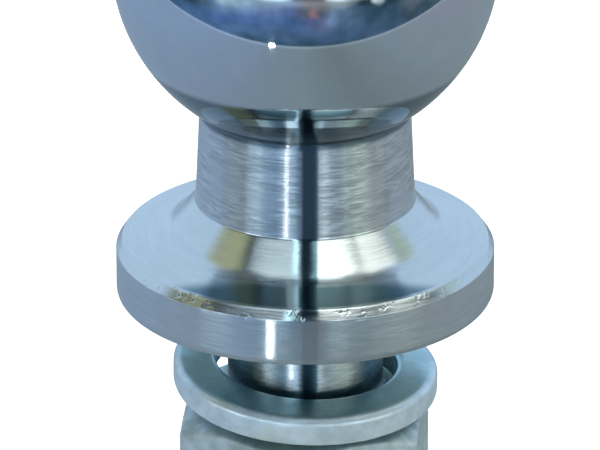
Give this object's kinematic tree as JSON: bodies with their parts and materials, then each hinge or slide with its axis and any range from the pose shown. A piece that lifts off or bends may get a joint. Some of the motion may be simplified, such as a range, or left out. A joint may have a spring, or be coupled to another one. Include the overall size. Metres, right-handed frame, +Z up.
{
  "type": "tow ball with lock washer and nut",
  "caption": "Chrome-plated tow ball with neck, round flange and threaded shank, fastened by a split spring lock washer and a hexagon nut.",
  "frame": {"origin": "centre of the flat end of the shank, on the surface that the part stands on", "axes": "+Z up the shank to the ball; -Y is the front, towards the viewer; +X to the viewer's right"},
  "size_m": [0.05, 0.05, 0.1307],
  "materials": {
    "chrome_plate": "bright chrome plate over fine turning marks, mirror-smooth on the ball",
    "zinc_washer": "frosty bright zinc plate on spring steel",
    "zinc_nut": "dull grey-green zinc plate on forged steel"
  },
  "bodies": {
    "stud": {"ball_stud": "chrome_plate"},
    "washer": {"lock_washer": "zinc_washer"},
    "nut": {"hex_nut": "zinc_nut"}
  },
  "joints": [
    {"name": "washer_slide", "type": "slide", "parent": "stud", "child": "washer", "axis": [0, 0, 1], "range_m": [-0.02625, 0]},
    {"name": "nut_turn", "type": "hinge", "parent": "washer", "child": "nut", "pos_m": [0, 0, 0.0356], "axis": [0, 0, 1], "range_deg": [-3781, 0]}
  ],
  "couplings": [
    {"joint": "nut_turn", "follows": "washer_slide", "rad_per_m": 2513.3}
  ]
}
